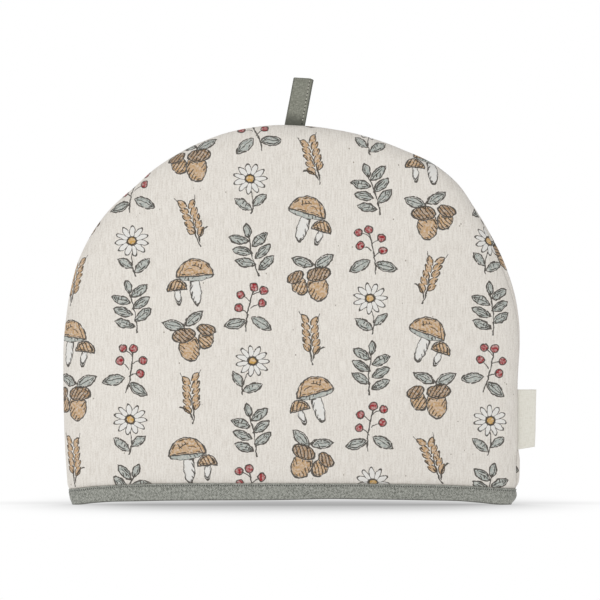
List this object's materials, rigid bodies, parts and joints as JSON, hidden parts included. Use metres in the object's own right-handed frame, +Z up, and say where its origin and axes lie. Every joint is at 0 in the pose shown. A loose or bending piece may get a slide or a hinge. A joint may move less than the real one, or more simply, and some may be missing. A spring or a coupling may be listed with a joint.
{
  "type": "tea cosy",
  "caption": "Padded dome tea cosy of printed cotton with a bound hem, a hanging loop at the top seam and a blank label in the side seam.",
  "frame": {"origin": "on the surface that the hem stands on, under the middle of the overall box of dome, loop and label", "axes": "+Z up, -Y out of the front panel, +X to the right seen from the front, toward the side with the label"},
  "size_m": [0.3629, 0.1092, 0.3282],
  "materials": {
    "printed_cotton": "matte slubby natural cotton with a small print, padded",
    "grey_green_cotton": "matte plain weave cotton",
    "cream_tape": "matte fine woven tape"
  },
  "bodies": {
    "root": {"front_panel": "printed_cotton", "back_panel": "printed_cotton", "hem_binding": "grey_green_cotton", "hanging_loop": "grey_green_cotton", "side_label": "cream_tape"}
  },
  "joints": []
}
